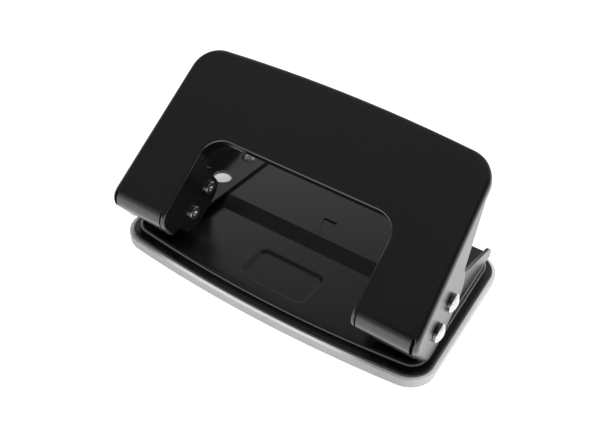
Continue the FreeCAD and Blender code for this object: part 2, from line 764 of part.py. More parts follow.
def make_bracket(side):
    """Channel that carries one punch: a floor over the paper gap and two cheeks for the pins."""
    word, sign = side_word(side), side
    blank = new_body(f"{word}_bracket_blank")
    for name, face, full in (("OuterCheek", "outer_cheek", True), ("InnerCheek", "inner_cheek", False)):
        sketch = sketch_on(blank, "YZ_Plane", name, f"{sign} * ({face})")
        outline(sketch, cheek_corners(full))
        pad(blank, sketch, "bracket_sheet", downwards=(side > 0) == full)
    floor = sketch_on(blank, "XY_Plane", "Floor", "platform_top")
    left, right = ("-(outer_cheek)", "-(inner_cheek)") if side < 0 else ("inner_cheek", "outer_cheek")
    outline(floor, [
        (left, "pivot_line - cheek_front"),
        (right, "pivot_line - cheek_front"),
        (right, "bracket_rear"),
        (left, "bracket_rear"),
    ])
    pad(blank, floor, "bracket_sheet")
    holes = sketch_on(blank, "XY_Plane", "FloorHoles", "floor_top")
    for reach, size in (("0", "spigot_size + 2 * press_fit"), ("locating_reach", "locating_hole"),
                        ("rivet_reach", "rivet_size + 2 * press_fit")):
        ring(holes, f"{sign} * hub", f"punch_line + {reach}", size)
    pocket(blank, holes, "bracket_sheet + overrun")
    turn_about_punch(blank, side)
    openings = new_body(f"{word}_bracket_openings")
    slots = sketch_on(openings, "YZ_Plane", "PinOpenings")
    outline(slots, rounded_slot())
    ring(slots, "pivot_line", "pivot_level", "pin_size + 2 * slide_fit")
    pad(openings, slots, "2 * (outer_cheek + overrun)", both_ways=True)
    joined("Cut", f"{word}_bracket", blank, [openings])


def turn_about_punch(body, side):
    """Turn a body drawn in the base's frame about the axis of its punch."""
    turn = turn_of(side)
    body.Placement = FreeCAD.Placement(vector(0, 0, 0), FreeCAD.Rotation(vector(0, 0, side), 1))
    shift_x = f"{side} * (hub * (1 - cos({turn})) + punch_line * sin({turn}))"
    shift_y = f"punch_line * (1 - cos({turn})) - hub * sin({turn})"
    tie(body, Placement__Base__x=shift_x, Placement__Base__y=shift_y, Placement__Rotation__Angle=turn)


def rounded_slot():
    """The drive pin's opening in the cheeks, with round corners of the pin's own radius."""
    radius = "pin_size / 2"
    return [
        (f"slot_front + {radius}", "slot_low"),
        (f"slot_rear - {radius}", "slot_low", radius, 1),
        ("slot_rear", f"slot_low + {radius}"),
        ("slot_rear", f"slot_high - {radius}", radius, 1),
        (f"slot_rear - {radius}", "slot_high"),
        (f"slot_front + {radius}", "slot_high", radius, 1),
        ("slot_front", f"slot_high - {radius}"),
        ("slot_front", f"slot_low + {radius}", radius, 1),
    ]


def stand_at_hub(body, side):
    tie(body, Placement__Base__x="hub" if side > 0 else "-hub", Placement__Base__y="punch_line")


def make_turned_piece(label, side, corners):
    """A piece turned about the punch's own axis, from its half section."""
    body = new_body(label)
    sketch = sketch_on(body, "XZ_Plane", "HalfSection")
    outline(sketch, corners)
    turned(body, sketch, "V_Axis")
    stand_at_hub(body, side)
    return body


def make_punch(side):
    """Steel punch with a forked cutting tip and a head whose slot takes the drive pin."""
    word = "left" if side < 0 else "right"
    punch = make_turned_piece(f"{word}_punch", side, [
        ("0", "tip_level"),
        ("hole_size / 2", "tip_level"),
        ("hole_size / 2", "head_bottom"),
        ("head_size / 2", "head_bottom"),
        ("head_size / 2", "head_bottom + 2 * head_half - punch_head_bevel"),
        ("head_size / 2 - punch_head_bevel", "head_bottom + 2 * head_half"),
        ("0", "head_bottom + 2 * head_half"),
    ])
    fork = sketch_on(punch, "YZ_Plane", "Fork")
    outline(fork, [
        ("-hole_size / 2 - slide_fit", "tip_level - slide_fit"),
        ("hole_size / 2 + slide_fit", "tip_level - slide_fit"),
        ("0", "tip_level + punch_notch"),
    ])
    pocket(punch, fork, "2 * head_size", both_ways=True)
    slot = sketch_on(punch, "YZ_Plane", "DriveSlot")
    half, rise = "drive_shift / 2 + pin_size / 2 + slot_slack", "pin_size / 2 + drive_slack"
    low, high = f"drive_level - ({rise})", f"drive_level + {rise}"
    outline(slot, rounded_rectangle(half, low, high, "punch_slot_corner"))
    pocket(punch, slot, "2 * head_size", both_ways=True)


def make_bush(side):
    """Guide bush pressed into the bracket's floor."""
    word = "left" if side < 0 else "right"
    make_turned_piece(f"{word}_guide_bush", side, [
        ("punch_bore / 2", "platform_top + slide_fit"),
        ("spigot_size / 2", "platform_top + slide_fit"),
        ("spigot_size / 2", "floor_top"),
        ("bush_size / 2", "floor_top"),
        ("bush_size / 2", "bush_top"),
        ("punch_bore / 2", "bush_top"),
    ])


def make_die(side):
    """Die ring, flush with the deck, held up by a collar below it."""
    word = "left" if side < 0 else "right"
    make_turned_piece(f"{word}_die_ring", side, [
        ("punch_bore / 2", "die_bottom"),
        ("collar_size / 2", "die_bottom"),
        ("collar_size / 2", "deck_under"),
        ("die_size / 2", "deck_under"),
        ("die_size / 2", "deck_top"),
        ("punch_bore / 2", "deck_top"),
    ])


def make_spring_seat(side):
    """Washer under the punch's head, which the spring pushes up."""
    word = "left" if side < 0 else "right"
    make_turned_piece(f"{word}_spring_seat", side, [
        ("punch_bore / 2", "seat_bottom"),
        ("seat_size / 2", "seat_bottom"),
        ("seat_size / 2", "head_bottom"),
        ("punch_bore / 2", "head_bottom"),
    ])


def make_rivet(side):
    """Rivet that holds the bracket's floor down on the platform."""
    word = "left" if side < 0 else "right"
    rivet = make_turned_piece(f"{word}_bracket_rivet", side, [
        ("0", "platform_under - rivet_tail_height"),
        ("rivet_tail / 2", "platform_under - rivet_tail_height"),
        ("rivet_tail / 2", "platform_under"),
        ("rivet_size / 2", "platform_under"),
        ("rivet_size / 2", "floor_top"),
        ("rivet_head / 2", "floor_top",
         "((rivet_head / 2) ^ 2 + rivet_head_height ^ 2) / (2 * rivet_head_height)", 1),
        ("0", "floor_top + rivet_head_height"),
    ])
    place_x, place_y = bracket_place(side, "rivet_reach")
    tie(rivet, Placement__Base__x=place_x, Placement__Base__y=place_y)


def biarc(start, start_way, end, end_way):
    """Two tangent arcs from start to end that leave and arrive along the given ways."""
    across = end - start
    both = start_way + end_way
    spread = 2 * (1 - start_way.dot(end_way))
    reach = across.dot(both)
    pull = (math.sqrt(reach ** 2 + spread * across.dot(across)) - reach) / spread
    joint = (start + start_way * pull + end - end_way * pull) * 0.5
    arcs = []
    for first, corner, last in ((start, start + start_way * pull, joint), (joint, end - end_way * pull, end)):
        chord = last - first
        cosine = (corner - first).dot(chord) / ((corner - first).Length * chord.Length)
        middle = (first + last) * 0.5
        top = middle + (corner - middle) * (cosine / (1 + cosine))
        arcs.append(Part.Arc(first, top, last).toShape())
    return arcs


def make_spring(side):
    """Coil spring round the bush, one unbroken wire between the bracket's floor and the washer."""
    word = "left" if side < 0 else "right"
    wire, size = amount("spring_wire"), amount("spring_size")
    low, length = amount("floor_top + spring_gap"), amount("spring_length")
    radius, climb = (size - wire) / 2, length - wire
    pitch = climb / (SPRING_QUARTER_COUNT / 4)

    def point(turn):
        angle = 2 * math.pi * turn
        height = low + wire / 2 + pitch * turn
        return vector(radius * math.cos(angle), radius * math.sin(angle), height)

    def way(turn):
        angle = 2 * math.pi * turn
        result = vector(-radius * math.sin(angle), radius * math.cos(angle), pitch / (2 * math.pi))
        return result.normalize()

    edges = []
    for quarter in range(SPRING_QUARTER_COUNT):
        first, last = quarter / 4, (quarter + 1) / 4
        edges += biarc(point(first), way(first), point(last), way(last))
    section = Part.Wire([Part.Circle(point(0), way(0), wire / 2).toShape()])
    spring = doc.addObject("Part::Feature", f"{word}_spring")
    spring.Label = f"{word}_spring"
    spring.Shape = Part.Wire(edges).makePipeShell([section], True, False)
    place = vector(side * amount("hub"), amount("punch_line"))
    spring.Placement = FreeCAD.Placement(place, FreeCAD.Rotation())
    last_step = SPRING_POINT_COUNT * SPRING_QUARTER_COUNT // 4
    steps = [point(step / SPRING_POINT_COUNT) for step in range(last_step + 1)]
    apart = SPRING_POINT_COUNT // 2 + 1
    gaps = [(a - b).Length - wire for i, a in enumerate(steps) for b in steps[i + apart:]]
    print(f"{word} spring: least gap to itself {min(gaps):.2f}, turns of radius {radius:.2f}")


NODES = ["base_plate", "chip_tray", "lever_handle"]
NODES += [f"{word}_{piece}" for word in ("left", "right") for piece in (
    "bracket", "pivot_pin", "drive_pin", "punch", "spring", "spring_seat", "guide_bush", "die_ring",
    "bracket_rivet")]


def check_and_export():
    doc.recompute()
    bad = [item.Name for item in doc.Objects if {"Invalid", "Error"} & set(item.State)]
    if bad:
        raise RuntimeError(f"failed features: {bad}")
    os.makedirs("parts", exist_ok=True)
    for node in NODES:
        shape = doc.getObjectsByLabel(node)[0].Shape
        if shape.isNull() or not shape.isValid() or len(shape.Solids) != 1:
            raise RuntimeError(f"{node} is not one valid solid")
        shape.exportStep(f"parts/{node}.step")
        box = shape.BoundBox
        print(f"{node}: {shape.Volume:.1f} mm3, x {box.XMin:.2f} {box.XMax:.2f}, "
              f"y {box.YMin:.2f} {box.YMax:.2f}, z {box.ZMin:.2f} {box.ZMax:.2f}")


make_base_plate()
make_chip_tray()
make_lever_handle()
for side in (-1, 1):
    make_bracket(side)
    make_pins(side)
    make_punch(side)
    make_bush(side)
    make_die(side)
    make_spring_seat(side)
    make_rivet(side)
    make_spring(side)
print(f"stroke {amount('stroke'):.4f} mm, pivot y {amount('pivot_line'):.3f} z {amount('pivot_level'):.3f}, "
      f"drive pin level {amount('drive_level'):.3f}")
check_and_export()
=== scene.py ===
import bpy
import bmesh
import json
import math
from mathutils import Matrix, Vector


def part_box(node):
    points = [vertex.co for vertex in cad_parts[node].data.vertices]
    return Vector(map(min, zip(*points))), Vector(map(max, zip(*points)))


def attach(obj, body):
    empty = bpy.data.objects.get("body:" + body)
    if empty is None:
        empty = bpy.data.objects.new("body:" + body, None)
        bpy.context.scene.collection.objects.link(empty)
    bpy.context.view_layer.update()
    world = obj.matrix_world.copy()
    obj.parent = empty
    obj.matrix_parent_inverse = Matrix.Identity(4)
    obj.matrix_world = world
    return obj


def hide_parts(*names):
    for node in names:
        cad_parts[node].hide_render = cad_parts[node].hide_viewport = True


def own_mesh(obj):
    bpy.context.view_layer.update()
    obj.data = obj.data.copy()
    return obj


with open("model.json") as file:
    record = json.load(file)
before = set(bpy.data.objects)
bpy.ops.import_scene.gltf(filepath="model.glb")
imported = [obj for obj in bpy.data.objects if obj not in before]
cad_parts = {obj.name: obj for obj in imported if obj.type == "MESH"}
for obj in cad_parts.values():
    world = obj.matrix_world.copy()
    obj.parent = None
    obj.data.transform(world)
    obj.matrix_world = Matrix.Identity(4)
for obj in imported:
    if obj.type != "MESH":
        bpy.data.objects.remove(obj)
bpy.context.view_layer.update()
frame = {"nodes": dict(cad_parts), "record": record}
nodes = frame["nodes"]
bodyOf = {node: body for body, names in frame["record"]["behaviour"]["bodies"].items() for node in names}
scene = bpy.context.scene
mm = 0.001
print("frame loaded:", len(nodes), "nodes")


# Small helpers for node trees.
def addNode(tree, kind, **values):
    node = tree.nodes.new(kind)
    for name, value in values.items():
        setattr(node, name, value)
    return node


def setInputs(node, values):
    for name, value in values.items():
        node.inputs[name].default_value = value


def mathNode(tree, operation, first, second, third=None, clamp=False):
    node = addNode(tree, "ShaderNodeMath", operation=operation, use_clamp=clamp)
    for socket, value in zip(node.inputs, (first, second, third)):
        if value is None:
            continue
        if isinstance(value, float):
            socket.default_value = value
        else:
            tree.links.new(value, socket)
    return node.outputs[0]


def splitVector(tree, vector):
    node = addNode(tree, "ShaderNodeSeparateXYZ")
    tree.links.new(vector, node.inputs[0])
    return node.outputs


# Camera, floor and light come first, so that every later piece can be judged in them.
cameraSettings = {
    "place": (0.096325, -0.175681, 0.189737),   # metres, in the part's own frame
    "right": (0.840939, 0.537190, 0.065182),
    "down": (0.393657, -0.524655, -0.754832),
    "lens": 52.92,
    "sensor": 36.0,
    "clip": (0.01, 20.0),
}


def makeCamera(settings):
    right = Vector(settings["right"]).normalized()
    down = Vector(settings["down"])
    down = (down - right * down.dot(right)).normalized()
    back = right.cross(-down)
    turn = Matrix((right, -down, back)).transposed().to_4x4()
    data = bpy.data.cameras.new("photoCamera")
    data.lens = settings["lens"]
    data.sensor_width = settings["sensor"]
    data.clip_start, data.clip_end = settings["clip"]
    camera = bpy.data.objects.new("photoCamera", data)
    camera.matrix_world = Matrix.Translation(settings["place"]) @ turn
    scene.collection.objects.link(camera)
    scene.camera = camera


floorSettings = {
    "size": 3.0,
    "drop": 0.4 * mm,
    "look": {
        "Base Color": (0.25, 0.25, 0.25, 1.0),
        "Roughness": 0.9,
        "Emission Color": (1.0, 1.0, 1.0, 1.0),
        "Emission Strength": 0.95,
    },
}


def makeFloor(settings):
    size, low = settings["size"], -settings["drop"]
    mesh = bpy.data.meshes.new("studioFloor")
    corners = [(-size, -size, low), (size, -size, low), (size, size, low), (-size, size, low)]
    mesh.from_pydata(corners, [], [(0, 1, 2, 3)])
    floor = bpy.data.objects.new("studioFloor", mesh)
    scene.collection.objects.link(floor)
    material = bpy.data.materials.new("floorPaper")
    material.use_nodes = True
    setInputs(material.node_tree.nodes["Principled BSDF"], settings["look"])
    mesh.materials.append(material)


surroundSettings = {
    # Brightness against height on the unit sphere: all round, and what is added at the back.
    "round": [(0.0, 0.66), (0.06, 0.64), (0.20, 0.42), (0.36, 0.16), (0.52, 0.03), (0.66, 0.012),
              (0.72, 0.06), (0.80, 0.09), (0.88, 0.14), (1.0, 0.20)],
    "behind": [(0.0, 0.0), (0.42, 0.0), (0.62, 0.70), (0.67, 0.14), (0.71, 0.0), (1.0, 0.0)],
    "behindReach": {"From Min": 0.25, "From Max": 0.50},
    # A little more on the left.
    "left": {"From Min": -0.20, "From Max": -0.55, "To Max": 0.10},
}


def heightRamp(tree, height, stops):
    ramp = addNode(tree, "ShaderNodeValToRGB")
    elements = ramp.color_ramp.elements
    while len(elements) < len(stops):
        elements.new(1.0)
    for element, (place, level) in zip(elements, stops):
        element.position = place
        element.color = (level, level, level, 1.0)
    tree.links.new(height, ramp.inputs["Fac"])
    return ramp.outputs["Color"]


def makeSurround(settings):
    world = bpy.data.worlds.new("studioSurround")
    scene.world = world
    world.use_nodes = True
    tree = world.node_tree
    direction = addNode(tree, "ShaderNodeTexCoord")
    parts = splitVector(tree, direction.outputs["Generated"])
    fade = addNode(tree, "ShaderNodeMapRange", interpolation_type="SMOOTHSTEP")
    setInputs(fade, settings["behindReach"])
    tree.links.new(parts["Y"], fade.inputs["Value"])
    total = addNode(tree, "ShaderNodeMix", data_type="RGBA", blend_type="ADD")
    tree.links.new(fade.outputs["Result"], total.inputs["Factor"])
    tree.links.new(heightRamp(tree, parts["Z"], settings["round"]), total.inputs[6])
    tree.links.new(heightRamp(tree, parts["Z"], settings["behind"]), total.inputs[7])
    left = addNode(tree, "ShaderNodeMapRange")
    setInputs(left, settings["left"])
    tree.links.new(parts["X"], left.inputs["Value"])
    glow = addNode(tree, "ShaderNodeVectorMath", operation="ADD")
    tree.links.new(total.outputs[2], glow.inputs[0])
    tree.links.new(left.outputs["Result"], glow.inputs[1])
    tree.links.new(glow.outputs[0], tree.nodes["Background"].inputs["Color"])


# Disk lights that only the matt surfaces take up: place, size and power.
lightSettings = {
    "topLight": ((0.1, -0.1, 0.9), 0.9, 19.0),
    "rightLight": ((0.6, 0.05, 0.12), 0.4, 2.6),
}


def makeLights(settings):
    for name, (place, width, power) in settings.items():
        data = bpy.data.lights.new(name, "AREA")
        data.shape = "DISK"
        data.size = width
        data.energy = power
        light = bpy.data.objects.new(name, data)
        light.location = place
        light.rotation_mode = "QUATERNION"
        light.rotation_quaternion = (-Vector(place)).to_track_quat("-Z", "Y")
        light.visible_glossy = False
        scene.collection.objects.link(light)


makeCamera(cameraSettings)
makeFloor(floorSettings)
makeSurround(surroundSettings)
makeLights(lightSettings)
scene.view_settings.view_transform = "Standard"
print("camera and studio made")

# Shader groups that the materials share. A pair is a noise's detail and roughness.
# Their scales are per metre, because Object coordinates are in metres.
groupSettings = {
    "vectors": ("Vector", "Along", "Across"),
    "peelGrain": (2.0, 0.45),
    "peelCloud": (3.0, 0.55),
    "scratchLines": (1.0, 0.4),
    "scratchPatches": (1.0, 0.5),
    "scratchPatchScale": 160.0,
    "scratchPatchWeight": 0.35,
    "scratchSharpness": 9.0,
    "wearPatches": (4.0, 0.65),
    "wearStart": 0.82,
    "wearGain": -0.5,
    "wearSharpness": 14.0,
    "rings": {"Detail": 2.0, "Roughness": 0.6},
    "ringPatches": (2.0, 0.5),
    "ringPatchScale": 700.0,
}


def newGroup(name, inputs, outputs, settings):
    group = bpy.data.node_groups.new(name, "ShaderNodeTree")
    for way, labels in (("INPUT", inputs), ("OUTPUT", outputs)):
        for label in labels:
            kind = "NodeSocketVector" if label in settings["vectors"] else "NodeSocketFloat"
            group.interface.new_socket(name=label, in_out=way, socket_type=kind)
    given, result = addNode(group, "NodeGroupInput"), addNode(group, "NodeGroupOutput")
    return group, given.outputs, result.inputs


def noiseNode(tree, vector, scale, detail, roughness):
    node = addNode(tree, "ShaderNodeTexNoise")
    setInputs(node, {"Detail": detail, "Roughness": roughness})
    tree.links.new(vector, node.inputs["Vector"])
    if isinstance(scale, float):
        node.inputs["Scale"].default_value = scale
    else:
        tree.links.new(scale, node.inputs["Scale"])
    return node.outputs["Fac"]


def scaledVector(tree, vector, factors):
    node = addNode(tree, "ShaderNodeVectorMath", operation="MULTIPLY")
    tree.links.new(vector, node.inputs[0])
    tree.links.new(factors, node.inputs[1])
    return node.outputs[0]


def makePeelGroup(settings):
    group, given, result = newGroup("satinPeel", ("Vector", "Grain Scale", "Cloud Scale"),
                                    ("Height", "Cloud"), settings)
    grain = noiseNode(group, given["Vector"], given["Grain Scale"], *settings["peelGrain"])
    cloud = noiseNode(group, given["Vector"], given["Cloud Scale"], *settings["peelCloud"])
    group.links.new(grain, result["Height"])
    group.links.new(cloud, result["Cloud"])
    return group


def makeDustGroup(settings):
    group, given, result = newGroup("dustSpecks", ("Vector", "Speck Scale", "Speck Size", "Share"),
                                    ("Mask",), settings)
    cells = addNode(group, "ShaderNodeTexVoronoi", feature="F1")
    group.links.new(given["Vector"], cells.inputs["Vector"])
    group.links.new(given["Speck Scale"], cells.inputs["Scale"])
    near = mathNode(group, "LESS_THAN", cells.outputs["Distance"], given["Speck Size"])
    pick = addNode(group, "ShaderNodeSeparateColor")
    group.links.new(cells.outputs["Color"], pick.inputs["Color"])
    chosen = mathNode(group, "LESS_THAN", pick.outputs["Red"], given["Share"])
    group.links.new(mathNode(group, "MULTIPLY", near, chosen), result["Mask"])
    return group


def makeScratchGroup(settings):
    group, given, result = newGroup("hairScratches", ("Vector", "Along", "Threshold"), ("Mask",), settings)
    stretched = scaledVector(group, given["Vector"], given["Along"])
    lines = noiseNode(group, stretched, 1.0, *settings["scratchLines"])
    patches = noiseNode(group, given["Vector"], settings["scratchPatchScale"], *settings["scratchPatches"])
    mixed = mathNode(group, "MULTIPLY_ADD", patches, settings["scratchPatchWeight"], lines)
    over = mathNode(group, "SUBTRACT", mixed, given["Threshold"])
    sharp = mathNode(group, "MULTIPLY", over, settings["scratchSharpness"], clamp=True)
    group.links.new(sharp, result["Mask"])
    return group


def makeWearGroup(settings):
    group, given, result = newGroup("edgeWear", ("Vector", "Patch Scale", "Amount"), ("Mask",), settings)
    coarse = noiseNode(group, given["Vector"], given["Patch Scale"], *settings["wearPatches"])
    level = mathNode(group, "MULTIPLY_ADD", given["Amount"], settings["wearGain"], settings["wearStart"])
    over = mathNode(group, "SUBTRACT", coarse, level)
    sharp = mathNode(group, "MULTIPLY", over, settings["wearSharpness"], clamp=True)
    group.links.new(sharp, result["Mask"])
    return group


def makeLatheGroup(settings):
    group, given, result = newGroup("latheRings", ("Vector", "Across", "Ring Scale"),
                                    ("Height", "Mask"), settings)
    radius = addNode(group, "ShaderNodeVectorMath", operation="LENGTH")
    group.links.new(scaledVector(group, given["Vector"], given["Across"]), radius.inputs[0])
    rings = addNode(group, "ShaderNodeTexNoise", noise_dimensions="1D")
    setInputs(rings, settings["rings"])
    group.links.new(radius.outputs["Value"], rings.inputs["W"])
    group.links.new(given["Ring Scale"], rings.inputs["Scale"])
    patches = noiseNode(group, given["Vector"], settings["ringPatchScale"], *settings["ringPatches"])
    group.links.new(rings.outputs["Fac"], result["Height"])
    group.links.new(patches, result["Mask"])
    return group


peelGroup = makePeelGroup(groupSettings)
dustGroup = makeDustGroup(groupSettings)
scratchGroup = makeScratchGroup(groupSettings)
wearGroup = makeWearGroup(groupSettings)
latheGroup = makeLatheGroup(groupSettings)


def startMaterial(name, offset=(0.0, 0.0, 0.0)):
    material = bpy.data.materials.new(name)
    material.use_nodes = True
    tree = material.node_tree
    coords = addNode(tree, "ShaderNodeTexCoord")
    mapping = addNode(tree, "ShaderNodeMapping")
    mapping.inputs["Location"].default_value = offset
    tree.links.new(coords.outputs["Object"], mapping.inputs["Vector"])
    return material, tree, tree.nodes["Principled BSDF"], mapping.outputs["Vector"]


def placeGroup(tree, group, vector, values):
    node = addNode(tree, "ShaderNodeGroup", node_tree=group)
    tree.links.new(vector, node.inputs["Vector"])
    setInputs(node, values)
    return node.outputs


def mixColour(tree, factor, first, second):
    node = addNode(tree, "ShaderNodeMix", data_type="RGBA")
    tree.links.new(factor, node.inputs["Factor"])
    for socket, value in ((node.inputs[6], first), (node.inputs[7], second)):
        if isinstance(value, tuple):
            socket.default_value = (*value, 1.0)
        else:
            tree.links.new(value, socket)
    return node.outputs[2]


def rangeNode(tree, value, low, high):
    node = addNode(tree, "ShaderNodeMapRange")
    setInputs(node, {"To Min": low, "To Max": high})
    tree.links.new(value, node.inputs["Value"])
    return node.outputs["Result"]


# Links colour, roughness and a bump, given as strength and depth, to the material's shader.
def feedShader(tree, shader, colour, rough, height, bump):
    node = addNode(tree, "ShaderNodeBump")
    setInputs(node, {"Strength": bump[0], "Distance": bump[1]})
    tree.links.new(height, node.inputs["Height"])
    tree.links.new(node.outputs["Normal"], shader.inputs["Normal"])
    tree.links.new(colour, shader.inputs["Base Color"])
    tree.links.new(rough, shader.inputs["Roughness"])


enamelSettings = {
    "colour": (0.0012, 0.0012, 0.0013),
    "paler": (0.0021, 0.0021, 0.0022),
    "dustColour": (0.10, 0.10, 0.097),
    "bareMetal": (0.34, 0.33, 0.32),
    "roughness": (0.22, 0.30),
    "bump": (0.14, 0.05 * mm),
    "peel": {"Grain Scale": 1500.0, "Cloud Scale": 42.0},
    "dust": {"Speck Scale": 230.0, "Speck Size": 0.075, "Share": 0.03},
    "wear": {"Patch Scale": 520.0, "Amount": 0.34},
    "shader": {"Specular IOR Level": 1.0},
}


# Black stoved enamel: slight orange peel, clouded gloss, a few dust specks, and worn spots on edges.
def makeEnamel(name, settings, isEdge=False):
    material, tree, shader, where = startMaterial(name)
    peel = placeGroup(tree, peelGroup, where, settings["peel"])
    dust = placeGroup(tree, dustGroup, where, settings["dust"])
    colour = mixColour(tree, peel["Cloud"], settings["colour"], settings["paler"])
    colour = mixColour(tree, dust["Mask"], colour, settings["dustColour"])
    if isEdge:
        wear = placeGroup(tree, wearGroup, where, settings["wear"])
        colour = mixColour(tree, wear["Mask"], colour, settings["bareMetal"])
        tree.links.new(wear["Mask"], shader.inputs["Metallic"])
    rough = rangeNode(tree, peel["Cloud"], *settings["roughness"])
    feedShader(tree, shader, colour, rough, peel["Height"], settings["bump"])
    setInputs(shader, settings["shader"])
    return material


steelSettings = {
    "bright": {"colour": (0.72, 0.72, 0.71), "dull": (0.52, 0.52, 0.51), "roughness": (0.16, 0.30)},
    "tool": {"colour": (0.52, 0.52, 0.51), "dull": (0.36, 0.36, 0.36), "roughness": (0.24, 0.40)},
    "bump": (0.22, 0.03 * mm),
    "ringScale": 5200.0,
    "scratch": {"Along": (700.0, 60.0, 900.0), "Threshold": 0.74},
    "scratchRoughness": 0.10,
    "shader": {"Metallic": 1.0},
}


# Turned steel: rings about the piece's own axis, patchy brightness, fine scratches.
def makeTurnedSteel(name, axisPoint, across, finish, settings):
    look = settings[finish]
    material, tree, shader, where = startMaterial(name, tuple(-value for value in axisPoint))
    lathe = placeGroup(tree, latheGroup, where, {"Across": across, "Ring Scale": settings["ringScale"]})
    scratch = placeGroup(tree, scratchGroup, where, settings["scratch"])
    colour = mixColour(tree, lathe["Mask"], look["colour"], look["dull"])
    colour = mixColour(tree, scratch["Mask"], colour, look["dull"])
    rough = rangeNode(tree, lathe["Height"], *look["roughness"])
    rough = mathNode(tree, "MULTIPLY_ADD", scratch["Mask"], settings["scratchRoughness"], rough)
    feedShader(tree, shader, colour, rough, lathe["Height"], settings["bump"])
    setInputs(shader, settings["shader"])
    return material


plasticSettings = {
    "colour": (0.39, 0.39, 0.387),
    "shade": (0.34, 0.34, 0.337),
    "dustColour": (0.24, 0.235, 0.225),
    "pegPaintedLight": (0.92, 0.92, 0.92),     # painted light: the peg ends above this level sit in shade in the bracket holes and are painted near white, as if lit
    "pegLevel": 5.0 * mm,
    "roughness": (0.42, 0.55),
    "bump": (0.12, 0.04 * mm),
    "peel": {"Grain Scale": 2600.0, "Cloud Scale": 70.0},
    "dust": {"Speck Scale": 300.0, "Speck Size": 0.08, "Share": 0.03},
    "scratch": {"Along": (30.0, 800.0, 800.0), "Threshold": 0.80},
    "scratchRoughness": 0.12,
    "shader": {
        "Subsurface Weight": 0.25,
        "Subsurface Radius": (1.0, 1.0, 1.0),
        "Subsurface Scale": 1.5 * mm,
    },
}


# Milky tray plastic: slightly clouded, a fine moulded grain and a little grey dust.
def makeTrayPlastic(name, settings):
    material, tree, shader, where = startMaterial(name)
    peel = placeGroup(tree, peelGroup, where, settings["peel"])
    dust = placeGroup(tree, dustGroup, where, settings["dust"])
    scratch = placeGroup(tree, scratchGroup, where, settings["scratch"])
    colour = mixColour(tree, peel["Cloud"], settings["colour"], settings["shade"])
    colour = mixColour(tree, dust["Mask"], colour, settings["dustColour"])
    # Painted light: the peg ends get a far paler colour than the tray. It stands in for light that their
    # shaded place in the bracket holes doesn't receive.
    isPeg = mathNode(tree, "GREATER_THAN", splitVector(tree, where)["Z"], settings["pegLevel"])
    colour = mixColour(tree, isPeg, colour, settings["pegPaintedLight"])
    rough = rangeNode(tree, peel["Cloud"], *settings["roughness"])
    rough = mathNode(tree, "MULTIPLY_ADD", scratch["Mask"], settings["scratchRoughness"], rough)
    feedShader(tree, shader, colour, rough, peel["Height"], settings["bump"])
    setInputs(shader, settings["shader"])
    return material


wireSettings = {
    "colour": (0.46, 0.46, 0.45),
    "shade": (0.30, 0.30, 0.30),
    "roughness": (0.22, 0.38),
    "bump": (0.2, 0.02 * mm),
    "drawn": {"Along": (900.0, 900.0, 5200.0), "Threshold": 0.62},
    "peel": {"Grain Scale": 3200.0, "Cloud Scale": 260.0},
    "shader": {"Metallic": 1.0},
}


# Drawn spring wire: faint lines and a clouded grey.
def makeWireSteel(name, settings):
    material, tree, shader, where = startMaterial(name)
    drawn = placeGroup(tree, scratchGroup, where, settings["drawn"])
    peel = placeGroup(tree, peelGroup, where, settings["peel"])
    colour = mixColour(tree, peel["Cloud"], settings["colour"], settings["shade"])
    rough = rangeNode(tree, drawn["Mask"], *settings["roughness"])
    feedShader(tree, shader, colour, rough, drawn["Mask"], settings["bump"])
    setInputs(shader, settings["shader"])
    return material


enamel = makeEnamel("blackEnamel", enamelSettings)
enamelEdge = makeEnamel("blackEnamelEdge", enamelSettings, isEdge=True)
trayPlastic = makeTrayPlastic("trayPlastic", plasticSettings)
wireSteel = makeWireSteel("wireSteel", wireSettings)
print("materials made")

# What every piece gets, unless its own settings say otherwise. Angles are in degrees.
finishSettings = {
    "mergeReach": 0.001 * mm,
    "flatAngle": 0.4,
    "bevelAngle": 32.0,
    "bevelSegments": 2,
    "crease": 40.0,
}


# A merged copy of a CAD node's mesh, with flat faces joined to single faces.
def copyNode(name):
    shape = bmesh.new()
    shape.from_mesh(nodes[name].data)
    bmesh.ops.remove_doubles(shape, verts=shape.verts, dist=finishSettings["mergeReach"])
    bmesh.ops.dissolve_limit(shape, angle_limit=math.radians(finishSettings["flatAngle"]),
                             verts=shape.verts, edges=shape.edges)
    return shape


# The mesh of an object as its modifiers leave it becomes its own.
def applyModifiers(piece):
    graph = bpy.context.evaluated_depsgraph_get()
    made = bpy.data.meshes.new_from_object(piece.evaluated_get(graph))
    piece.modifiers.clear()
    piece.data = made
    made.name = piece.name


# Gives a shape its fine bevels, which take the last material, and makes it the visible piece.
def finishPiece(name, shape, materials, body, replaced, settings):
    look = finishSettings | settings
    mesh = bpy.data.meshes.new(name)
    shape.to_mesh(mesh)
    shape.free()
    piece = bpy.data.objects.new(name, mesh)
    scene.collection.objects.link(piece)
    for material in materials:
        mesh.materials.append(material)
    modifier = piece.modifiers.new("fineEdges", "BEVEL")
    modifier.width = look["fineBevel"]
    modifier.segments = look["bevelSegments"]
    modifier.limit_method = "ANGLE"
    modifier.angle_limit = math.radians(min(look["bevelAngle"], look["crease"]))
    modifier.use_clamp_overlap = True
    modifier.material = len(materials) - 1
    modifier.miter_outer = "MITER_ARC"
    smooth = piece.modifiers.new("evenNormals", "WEIGHTED_NORMAL")
    smooth.mode = "FACE_AREA"
    smooth.keep_sharp = True
    mesh.polygons.foreach_set("use_smooth", [True] * len(mesh.polygons))
    mesh.set_sharp_from_angle(angle=math.radians(look["crease"]))
    applyModifiers(piece)
    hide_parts(*replaced)
    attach(piece, body)


